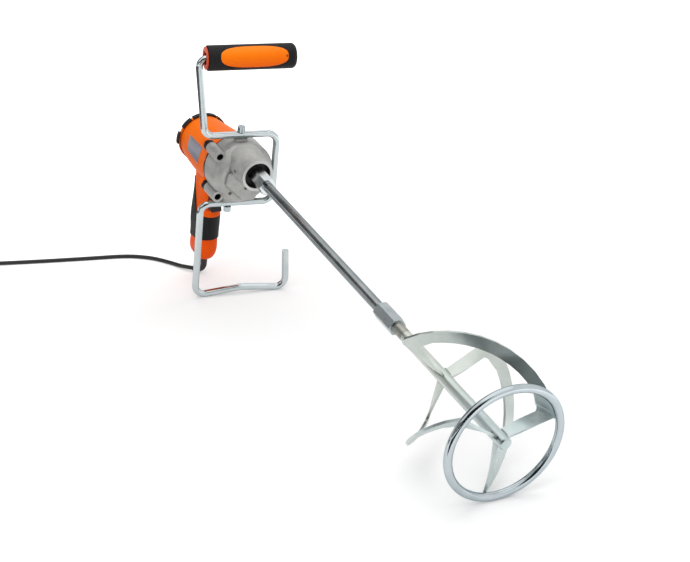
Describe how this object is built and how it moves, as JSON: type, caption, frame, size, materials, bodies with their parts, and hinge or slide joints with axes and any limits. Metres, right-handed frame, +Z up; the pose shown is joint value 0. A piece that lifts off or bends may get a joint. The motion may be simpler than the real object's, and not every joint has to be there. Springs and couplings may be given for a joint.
{
  "type": "mixing drill",
  "caption": "Corded hand-held mixing drill with a wire carrying frame, a long rod and a ringed spiral whisk, resting on its foot.",
  "frame": {"origin": "on the floor under the middle of the object's box, without the mains lead", "axes": "+Z up, +Y from the whisk back towards the motor, +X to the right of a person behind the motor who looks along the rod"},
  "size_m": [0.5101, 1.0765, 0.3558],
  "materials": {
    "cast_aluminium": "satin cast",
    "orange_shell": "moulded, slight sheen",
    "black_shell": "moulded, matt",
    "black_rubber": "soft, matt",
    "orange_inlay": "moulded, satin",
    "red_core": "moulded, satin",
    "zinc_steel": "bright zinc",
    "ground_steel": "ground",
    "gear_steel": "hobbed, oiled",
    "bearing_steel": "ground",
    "lamination": "stacked sheet, oiled",
    "copper_wire": "enamelled",
    "copper_bar": "turned",
    "brass_sheet": "stamped",
    "carbon": "pressed carbon",
    "bronze_bush": "sintered",
    "black_screw": "blackened",
    "seal_rubber": "oiled",
    "grey_plastic": "moulded",
    "cord_rubber": "matt jacket",
    "plug_plastic": "moulded",
    "pin_metal": "nickel"
  },
  "bodies": {
    "tool": {"gear_case": "cast_aluminium", "bearing_plate": "cast_aluminium", "case_screws": "black_screw", "spindle_bearing": "bearing_steel", "spindle_seal": "seal_rubber", "spindle_tail_bearing": "bearing_steel", "layshaft_bush_front": "bronze_bush", "layshaft_bush_rear": "bronze_bush", "motor_bearing_front": "bearing_steel", "motor_bearing_rear": "bearing_steel", "stator_core": "lamination", "field_coils": "copper_wire", "carbon_brushes": "carbon", "brush_holders": "brass_sheet", "housing_left": "orange_shell", "housing_right": "orange_shell", "housing_screws": "black_screw", "grip_pad_left": "black_rubber", "grip_pad_right": "black_rubber", "rear_cap": "black_shell", "switch_body": "grey_plastic", "capacitor": "grey_plastic", "handle_bar": "zinc_steel", "frame_bolts": "zinc_steel", "grip_core": "red_core", "grip_inlay_front": "orange_inlay", "grip_inlay_back": "orange_inlay", "grip_sleeve": "black_rubber", "cord_sleeve": "cord_rubber", "cord_clamp": "grey_plastic", "power_cord": "cord_rubber", "cord_coil": "cord_rubber", "cord_tail": "cord_rubber", "cord_tie": "cord_rubber", "plug_body": "plug_plastic", "plug_pins": "pin_metal"},
    "spindle_line": {"spindle": "ground_steel", "output_gear": "gear_steel", "extension_rod": "zinc_steel", "coupling_nut": "zinc_steel", "whisk_shaft": "zinc_steel", "whisk_ring": "zinc_steel", "whisk_blade_1": "zinc_steel", "whisk_blade_2": "zinc_steel", "whisk_blade_3": "zinc_steel"},
    "lay_line": {"layshaft": "gear_steel", "layshaft_gear": "gear_steel"},
    "armature": {"armature_shaft": "ground_steel", "armature_core": "lamination", "armature_winding": "copper_wire", "commutator": "copper_bar", "cooling_fan": "grey_plastic"},
    "trigger": {"trigger": "black_shell"},
    "lock": {"lock_button": "black_shell"}
  },
  "joints": [
    {"name": "spindle_spin", "type": "hinge", "parent": "tool", "child": "spindle_line", "pos_m": [-0.002, 0.20196, 0.19061], "axis": [0, -0.9798, -0.1999], "continuous": true},
    {"name": "layshaft_spin", "type": "hinge", "parent": "tool", "child": "lay_line", "pos_m": [-0.01729, 0.25465, 0.18247], "axis": [0, -0.9798, -0.1999], "continuous": true},
    {"name": "armature_spin", "type": "hinge", "parent": "tool", "child": "armature", "pos_m": [-0.002, 0.32554, 0.1852], "axis": [0, -0.9798, -0.1999], "continuous": true},
    {"name": "trigger_pull", "type": "slide", "parent": "tool", "child": "trigger", "axis": [0, 0.9798, 0.1999], "range_m": [0, 0.007], "stiffness_N_per_m": 600, "springref_m": -0.003},
    {"name": "lock_press", "type": "slide", "parent": "tool", "child": "lock", "axis": [-1, 0, 0], "range_m": [0, 0.003], "stiffness_N_per_m": 500, "springref_m": -0.001}
  ],
  "couplings": [
    {"joint": "layshaft_spin", "follows": "spindle_spin", "ratio": -3},
    {"joint": "armature_spin", "follows": "spindle_spin", "ratio": 16.286}
  ]
}
